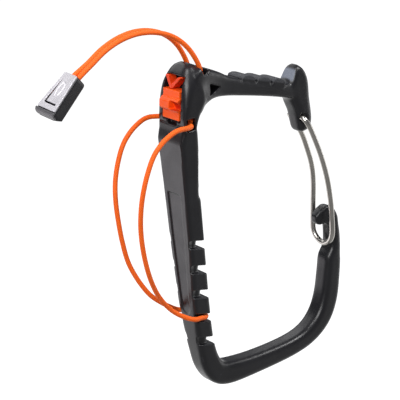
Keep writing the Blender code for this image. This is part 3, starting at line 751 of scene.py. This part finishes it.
# ---- the cord ----
def inner_face_at(z):
    """X of the spine's inner face at a height, in millimetres."""
    for (_, (top_x, high), _, _), (_, (low_x, low), _, _) in zip(SPINE_AND_HOOK, SPINE_AND_HOOK[1:]):
        if low <= z <= high:
            return low_x + (top_x - low_x) * (z - low) / (high - low)
    raise ValueError("height off the spine")


def half_width_at(z):
    """Half the spine's width at a height, in millimetres."""
    for (_, (_, high), wide, _), (_, (_, low), narrow, _) in zip(SPINE_AND_HOOK, SPINE_AND_HOOK[1:]):
        if low <= z <= high:
            return narrow + (wide - narrow) * (z - low) / (high - low)
    raise ValueError("height off the spine")


def notch_z(index):
    """Height of a notch's middle at the spine's inner face, in millimetres."""
    return NOTCH_FIRST_Z - index * NOTCH_PITCH


def route(points, mirrored):
    """The points as vectors in metres, on the other side of the middle plane if mirrored."""
    side = -1 if mirrored else 1
    return [Vector((x, side * y, z)) * MM for x, y, z in points]


def tab_place():
    """Placement of the pull tab: local y runs to its mouth and z out of its cover."""
    along = Vector((math.cos(TAB_PITCH), 0, math.sin(TAB_PITCH)))
    normal = Vector((-math.sin(TAB_PITCH), 0, math.cos(TAB_PITCH)))
    side = along.cross(normal)
    turn = Matrix.Rotation(TAB_TWIST, 3, along)
    axes = Matrix((turn @ side, turn @ along, turn @ normal)).transposed()
    return Matrix.Translation(Vector(TAB_CENTRE) * MM) @ axes.to_4x4()


def tab_entry(mirrored):
    """Where a strand ends against its knot and where it enters the tab, in that order."""
    side = -1 if mirrored else 1
    return [tab_place() @ (Vector((side * x, y, z)) * MM)
            for x, y, z in ((1.9, 3.7, 0.0), (1.7, 11.0, -0.2))]


def notch_turn():
    """The cord's half turn round the notch's web, from front to back."""
    height = notch_z(CORD_NOTCH)
    inner = inner_face_at(height)
    off = CORD_D / 2 + 3 * GAP - NOTCH_DEPTH
    radius = half_width_at(height) + off
    centre = inner + off - radius
    turn = [(centre + radius * math.sin(math.radians(a)), -radius * math.cos(math.radians(a)))
            for a in range(0, 181, 30)]
    return [Vector((x, y, height - (x - inner) * math.tan(NOTCH_SLANT))) * MM for x, y in turn]


def trimmed(points, cut):
    """The line without its first and last stretch of a length in metres."""
    lengths = [0.0]
    for a, b in zip(points, points[1:]):
        lengths.append(lengths[-1] + (b - a).length)
    kept = [p for p, at in zip(points, lengths) if cut < at < lengths[-1] - cut]
    start = points[0] + (points[1] - points[0]).normalized() * cut
    end = points[-1] + (points[-2] - points[-1]).normalized() * cut
    return [start, *kept, end]


def cord_lines():
    """The cord's five stretches, cut from one smooth line: name to list of points."""
    halves = {}
    for name, mirrored, leave, approach in (("front", False, FRONT_EXIT, FRONT_APPROACH),
                                            ("back", True, BACK_EXIT, BACK_APPROACH)):
        pulled = tab_entry(mirrored) + route(PULL_STRAND, mirrored)
        inside = route(INNER_RUN, mirrored)
        halves[name] = (pulled, inside, route(leave + LOOP_STRAND + approach, mirrored))
    pulled, inside, strand = halves["front"]
    other_pulled, other_inside, other_strand = halves["back"]
    every = (pulled + inside + strand + notch_turn()
             + other_strand[::-1] + other_inside[::-1] + other_pulled[::-1])
    line = catmull_rom(every, CORD_STEPS)
    cuts = [0, len(pulled) - 1, len(pulled) + len(inside) - 1]
    cuts += [len(every) - 1 - k for k in reversed(cuts)]
    names = ["pull_cord_front", "inner_cord_front", "belt_loop_cord", "inner_cord_back",
             "pull_cord_back"]
    return {name: trimmed(line[CORD_STEPS * a:CORD_STEPS * b + 1], 2 * GAP * MM)
            for name, a, b in zip(names, cuts, cuts[1:])}


def braid_relief(along, turn):
    """Yarns stand out a little from the sheath, so the cord's outline is not quite round."""
    spin = 2 * math.pi * BRAID_YARNS * turn
    march = 2 * math.pi * along / BRAID_PITCH
    return 1 - BRAID_DEPTH + BRAID_DEPTH * max(math.sin(march + spin), math.sin(march - spin))


def make_cords(surface):
    """The five stretches with their braided sheath: CAD node to the piece and its path."""
    made = {}
    for name, line in cord_lines().items():
        path = spaced(line, 0.3)
        cord = tube(name.replace("cord", "braid"), path, CORD_D, 24, surface, braid_relief)
        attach(cord, "holder")
        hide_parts(name)
        made[name] = (cord, path)
    return made


def declare_cords(cords, tab_pieces):
    """Looks up the free stretches, the loop round the belt and the two strands of the pull, with the
    front strand's path turned round; nothing more is done with them.
    """
    loop, path = cords["belt_loop_cord"]
    for name in ("pull_cord_front", "pull_cord_back"):
        cord, path = cords[name]
        path = path[::-1] if name.endswith("front") else path


# ---- the frame ----
def notch_cutter(index):
    """A U-shaped slab round the spine's web, open towards the belt side."""
    z = notch_z(index)
    wide, inner = half_width_at(z), inner_face_at(z)
    web, web_end = wide - NOTCH_DEPTH, inner - NOTCH_DEPTH
    reach = 6                       # how far the slab stands out of the spine
    arc = [(web_end - NOTCH_ROUND + NOTCH_ROUND * math.sin(math.radians(a)),
            web - NOTCH_ROUND + NOTCH_ROUND * math.cos(math.radians(a)))
           for a in range(0, 91, 10)]
    half = [(-0.5, wide + reach), (-0.5, wide - 0.9), (2.4, web), *arc]
    outline = half + [(x, -y) for x, y in reversed(half)]
    outline += [(inner + reach, -wide - reach), (inner + reach, wide + reach)]
    place = Matrix.Translation(Vector((inner, 0, z)) * MM) @ Matrix.Rotation(NOTCH_SLANT, 4, "Y")
    return prism(f"notch {index}", [(x - inner, y) for x, y in outline],
                 -NOTCH_HEIGHT / 2, NOTCH_HEIGHT / 2, place)


def ridge(centre):
    """A rounded bar across the top arm, like a flattened oval in side view."""
    fullness = 0.75                 # 1 would be an ellipse, 0 a rectangle
    outline = []
    for degrees in range(0, 360, 10):
        c, d = math.cos(math.radians(degrees)), math.sin(math.radians(degrees))
        outline.append((RIDGE_HALF_LENGTH * math.copysign(abs(c) ** fullness, c),
                        RIDGE_RISE * math.copysign(abs(d) ** fullness, d)))
    place = (Matrix.Translation(Vector((centre[0], 0, centre[1])) * MM)
             @ Matrix.Rotation(RIDGE_SLOPE, 4, "Y") @ UPRIGHT)
    return prism("ridge", outline, -RIDGE_HALF_WIDTH, RIDGE_HALF_WIDTH, place)


def head_cutters():
    """The window, the gap below it, and on each side the cord's slot, bore, funnels and mouth."""
    window = box("window", (-OUTSIDE, -WINDOW_HALF_WIDTH, 0),
                 (WINDOW_DEPTH, WINDOW_HALF_WIDTH, WINDOW_HEIGHT))
    window.data.transform(lean_place())
    low, high = GAP_HEIGHTS
    cutters = [window, box("gap", (-OUTSIDE, -OUTSIDE, low), (GAP_DEPTH, OUTSIDE, high)),
               box("deep gap", (-OUTSIDE, -DEEP_GAP_HALF_WIDTH, low),
                   (DEEP_GAP_DEPTH, DEEP_GAP_HALF_WIDTH, high))]
    for side in (-1, 1):
        inner, outer = sorted((side * SLOT_WEB_HALF, side * OUTSIDE))
        cutters.append(box(f"slot {side}", (SLOT_START, inner, SLOT_FOOT), (SLOT_END, outer, high)))
        line = catmull_rom(route([PULL_STRAND[-1]] + INNER_RUN, side > 0), CORD_STEPS)
        cutters.append(tube(f"bore {side}", spaced(line, 2), CORD_BORE, 20))
        for k, ((low_x, low_z), (top_x, top_z)) in enumerate(FUNNELS):
            cutters.append(rod(f"funnel {side} {k}", FUNNEL_RADIUS,
                               (low_x, side * FUNNEL_FOOT_Y, low_z),
                               (top_x, side * FUNNEL_TOP_Y, top_z)))
        x, z = SIDE_MOUTH
        cutters.append(rod(f"side mouth {side}", SIDE_MOUTH_RADIUS, (x, side * SIDE_MOUTH_FLOOR, z),
                           (x, side * OUTSIDE, z)))
    return cutters


def limb_cutters():
    """Lanyard hole, belt-face recess, the gaps beside the ridges, and gate pivot bores."""
    cutters = [prism("lanyard hole", rounded_outline(LANYARD_HOLE, 1.0), -OUTSIDE, OUTSIDE, UPRIGHT),
               prism("belt recess", rounded_outline(BELT_RECESS, 1.2), -1, BELT_RECESS_DEPTH,
                     SIDEWAYS)]
    cutters += [rod("ridge gap", RIDGE_GAP_RADIUS, (x, -OUTSIDE, z), (x, OUTSIDE, z))
                for x, z in RIDGE_GAPS]
    x, z = GATE_PIVOT
    for side in (-1, 1):
        cutters.append(rod(f"gate bore {side}", WIRE_D / 2 + GAP, (x, side * 1.5, z),
                           (x, side * OUTSIDE, z)))
        cutters.append(rod(f"gate recess {side}", WIRE_D, (x, side * 4.3, z),
                           (x, side * OUTSIDE, z)))
    return cutters


def make_frame(surface):
    """The one moulding: limbs joined and filleted, then ridges, then every opening."""
    body = limb("moulded_frame", SPINE_AND_HOOK)
    combine(body, [limb("head", HEAD), limb("top arm", TOP_ARM), limb("nose", NOSE)], "UNION")
    soften(body, FILLETS, voxel=0.7, rounds=90, hollow_only=True)
    soften(body, HOOK_SHOULDER, voxel=0.7, rounds=14, hollow_only=False)
    combine(body, [ridge(centre) for centre in RIDGES], "UNION")
    combine(body, limb_cutters() + head_cutters() + [notch_cutter(k) for k in range(NOTCH_COUNT)],
            "DIFFERENCE")
    moulded(body, surface, voxel=0.4, rounds=9)
    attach(body, "holder")
    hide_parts("frame")
    return body


# ---- the gate ----
def make_gate(surface):
    """One bent wire: two legs from the nose that meet in a U below the hook's tip."""
    x, z = GATE_PIVOT
    half = GATE_HALF_SPAN
    front = [(px, -min(half, 5.2 + 2.1 * k), pz) for k, (px, pz) in enumerate(GATE_FRONT_LEG, 1)]
    bend = [(91.9 - 0.25 * math.sin(math.radians(a)), -half * math.cos(math.radians(a)),
             -70.6 - 8.1 * math.sin(math.radians(a))) for a in (25, 50, 75, 90, 105, 130, 155)]
    back = [(px, min(half, 4.9 + 1.2 * k), pz) for k, (px, pz) in enumerate(GATE_BACK_LEG, 1)]
    points = [(x, -2.2, z), (x, -5.2, z), *front, *bend, *back[::-1], (x, 4.7, z), (x, 2.2, z)]
    line = catmull_rom([Vector(p) * MM for p in points], 8)
    gate = tube("wire_gate_bar", spaced(line, 0.7), WIRE_D, 28, surface)
    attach(gate, "gate")
    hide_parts("wire_gate")
    return gate


# ---- the cord lock ----
def make_slider(surface):
    """The block in the window: a ledge for the thumb, with a tilted pocket in its front half."""
    slider = box("lock_slider_block", (0.1, -SLIDER_HALF_WIDTH, SLIDER_FOOT),
                 (WINDOW_DEPTH - 0.5, SLIDER_HALF_WIDTH, SLIDER_TOP))
    profile = [(0.9, 4.6), (-0.6, 5.0), (-1.9, 6.0), (-1.9, 9.4), (-0.6, 10.8), (0.9, 11.2)]
    ledge = prism("ledge", profile, -LEDGE_HALF_WIDTH, LEDGE_HALF_WIDTH, UPRIGHT)
    combine(slider, [ledge], "UNION")
    hollow = [(-3, 10.2), (-1.7, 10.2), (0.6, 8.4), (1.7, 6.3), (1.4, 5.8), (-3, 5.9)]
    combine(slider, [prism("pocket", hollow, 0.9, 7, UPRIGHT)], "DIFFERENCE")
    moulded(slider, surface, voxel=0.2, rounds=4, place=lean_place())
    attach(slider, "cord_lock")
    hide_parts("lock_slider")
    return slider


def make_lock_spring(surface):
    """A V between slider and dome, its foot a little aside, built as one fixed shape; on the real
    lock it shortens as the slider rises.
    """
    foot, top = SLIDER_TOP + GAP, WINDOW_HEIGHT - 0.4
    aside, reach, thick = 1.4, 5.7, 0.9
    near, far = 1.0, 5.4            # its depth in the window
    outline = [(aside - thick, foot), (aside + thick, foot), (reach, top),
               (reach - 2.2 * thick, top), (aside, foot + 2 * thick),
               (-reach + 2.2 * thick, top), (-reach, top)]
    spring = prism("lock_spring_arms", rounded_outline(outline, 0.35), near, far, SIDEWAYS)
    moulded(spring, surface, voxel=0.15, rounds=3, place=lean_place())
    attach(spring, "holder")
    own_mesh(spring)
    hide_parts("lock_spring")
    return spring


# ---- the pull tab ----
def tab_outline(inset):
    """Trapezoid of the tab seen from its cover, widest at the free end."""
    mouth, end, half = TAB_MOUTH_WIDTH / 2 - inset, TAB_END_WIDTH / 2 - inset, TAB_LENGTH / 2 - inset
    return [(mouth, half), (-mouth, half), (-end, -half), (end, -half)]


def tab_plate():
    """The cover plate: a sunken panel that slopes down to the end, two grooves, an oval badge."""
    low, face = COVER_UNDERSIDE, COVER_FACE
    outline = [(3.9, 10.6), (-3.9, 10.6), (-5.75, -8.5), (5.75, -8.5)]
    plate = prism("tab_plate", rounded_outline(outline, 0.7), low, face)
    panel_top, panel_end, sink = 8.4, -5.9, 0.5
    fall = sink / (panel_top - panel_end)
    sunk = [(2.6, panel_top), (-2.6, panel_top), (-3.9, panel_end), (3.9, panel_end)]
    slope = (Matrix.Translation(Vector((0, panel_top, face)) * MM)
             @ Matrix.Rotation(math.atan(fall), 4, "X")
             @ Matrix.Translation(Vector((0, -panel_top, 0)) * MM))
    panel = prism("panel", rounded_outline(sunk, 0.7), 0, 2, slope)
    floor = face - 0.85
    foot_groove = box("foot groove", (-3.5, panel_end, floor), (3.3, panel_end + 1, face + 1))
    side_groove = prism("side groove", [(-2.6, 8.0), (-2.35, 8.0), (-3.1, -5.5), (-3.9, -5.5)],
                        floor, face + 1)
    combine(plate, [panel, foot_groove, side_groove], "DIFFERENCE")
    oval = []
    for degrees in [360 * k / 32 for k in range(33)]:
        angle = math.radians(degrees)
        along = 2.2 + 3.8 * math.sin(angle)
        oval.append(Vector((1.35 * math.cos(angle), along, face - fall * (panel_top - along))) * MM)
    combine(plate, [tube("badge", oval, 0.42, 8)], "DIFFERENCE")
    return plate


def tab_lip():
    """The cover's end, rolled over the end of the shell."""
    low, face = COVER_UNDERSIDE, COVER_FACE
    rolled = [(-8.95, face), (-9.8, face - 0.2), (-10.5, face - 0.9), (-10.9, face - 2.0),
              (-10.9, -0.2), (-10.3, -0.2), (-10.2, face - 2.0), (-9.7, low), (-8.95, low)]
    return prism("tab_end_lip", rolled, -6.05, 6.05, SIDEWAYS)


def tab_shell():
    """The black shell: a pocket for the knots, a mouth for the strands, a seat for the lip."""
    low, seam = -TAB_DEPTH / 2, TAB_DEPTH / 2 - 1.0
    shell = eased(prism("tab_shell", rounded_outline(tab_outline(0), 2.0), low, seam), 0.5)
    combine(shell, [prism("tab pocket", tab_outline(1.4), -1.9, 2.9),
                    box("tab mouth", (-3.4, 4, -1.7), (3.4, 12, 1.7)),
                    box("lip seat", (-8, -12, -0.4), (8, -10.15, 4)),
                    prism("heel", [(-12, -0.6), (-10.7, -0.6), (-8.6, -4), (-12, -4)], -8, 8,
                          SIDEWAYS),
                    box("lip shoulder", (-8, -12, 1.4), (8, -9.6, 4))], "DIFFERENCE")
    return shell


def make_tab(shell_surface, plate_surface, lip_surface):
    """The tab's three pieces in their place: shell, cover plate and the cover's rolled end."""
    place = tab_place()
    shell = moulded(tab_shell(), shell_surface, voxel=0.15, rounds=9, place=place)
    plate = moulded(tab_plate(), plate_surface, voxel=0.1, rounds=4, place=place)
    lip = moulded(tab_lip(), lip_surface, voxel=0.12, rounds=6, place=place)
    for piece, slot in ((shell, "moulded_black"), (plate, "tab_cover_metal"),
                        (lip, "tab_cover_metal")):
        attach(piece, "holder")
    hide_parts("pull_tab_body")
    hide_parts("pull_tab_cover")
    return [shell, plate, lip]


def make_knots(surface):
    """Overhand knots that stop the cord's ends inside the tab."""
    knots = []
    for side, name in ((-1, "front"), (1, "back")):
        place = tab_place() @ Matrix.Translation(Vector((side * -1.9, 1.0, 0.1)) * MM)
        points = [place @ (Vector((0.62 * math.sin(2 * t), 0.99 * math.cos(t),
                                   0.55 * math.cos(3 * t))) * MM)
                  for t in (2 * math.pi * k / 60 for k in range(57))]
        knot = tube(f"cord_knot_{name}", points, 1.9, 14, surface)
        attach(knot, "holder")
        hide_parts(f"end_knot_{name}")
        knots.append(knot)
    return knots


# ---- stage ----
def area_light(name, place, size, power, colour):
    """A rectangular light turned to the middle of the holder."""
    data = bpy.data.lights.new(name, "AREA")
    data.shape = "RECTANGLE"
    data.size, data.size_y = size
    data.energy = power
    data.color = colour
    light = bpy.data.objects.new(name, data)
    bpy.context.scene.collection.objects.link(light)
    aim = (Vector(LIGHT_TARGET) - Vector(place)).to_track_quat("-Z", "Y")
    light.matrix_world = Matrix.Translation(place) @ aim.to_matrix().to_4x4()


def pale_floor():
    """Glows white on the far side and is duller in front, so that the black nylon stays dark."""
    n = Nodes("pale_floor")
    x, y, _ = n.xyz()
    ahead = n.math("ADD", n.math("MULTIPLY", x, -math.sin(CAMERA_AZIMUTH)),
                   n.math("MULTIPLY", y, math.cos(CAMERA_AZIMUTH)))
    far = n.span(ahead, -200 * MM, 600 * MM)
    colour = n.mix(n.noise(40, 2), (0.11, 0.11, 0.11), (0.13, 0.13, 0.13))
    colour = n.mix(far, colour, (0.32, 0.32, 0.32))
    return n.finish(colour, 0.9, Emission_Color=(1.0, 1.0, 1.0, 1.0),
                    Emission_Strength=n.span(far, 0.0, 1.0, 0.22, 1.0, soft=False))


def make_stage():
    """A floor well below the holder, which hangs from its belt, and soft studio light."""
    shape = bmesh.new()
    bmesh.ops.create_grid(shape, x_segments=1, y_segments=1, size=FLOOR_HALF_SIZE * MM,
                          matrix=Matrix.Rotation(CAMERA_AZIMUTH, 4, "Z")
                          @ Matrix.Translation(Vector((0, FLOOR_SHIFT, FLOOR_Z)) * MM))
    from_bmesh("floor", shape, pale_floor())
    world = bpy.data.worlds.new("studio")
    world.use_nodes = True
    sky = world.node_tree.nodes["Background"]
    sky.inputs["Color"].default_value = (0.9, 0.92, 1.0, 1.0)
    sky.inputs["Strength"].default_value = 0.18
    bpy.context.scene.world = world
    for light in LIGHTS:
        area_light(*light)
    bpy.context.scene.view_settings.view_transform = "Standard"


def main():
    make_camera()
    nylon, sheath = black_nylon(), elastic_sheath()
    cords = make_cords(sheath)
    # The cover's rolled lip takes a far darker copy of the cover's metal: painted shade for the dark
    # reflection on its curve.
    tab = make_tab(nylon, satin_metal("satin_metal", 0.74), satin_metal("satin_metal_painted_shade", 0.17))
    declare_cords(cords, tab + make_knots(sheath))
    make_frame(nylon)
    make_gate(drawn_steel())
    make_slider(orange_plastic("orange_plastic", (0.98, 0.110, 0.006), (0.92, 0.085, 0.004)))
    # The lock spring gets a darker copy of the orange plastic: painted shade for the shadow inside
    # the window.
    make_lock_spring(orange_plastic("orange_plastic_painted_shade", (0.86, 0.060, 0.005),
                                    (0.74, 0.040, 0.004)))
    make_stage()


main()
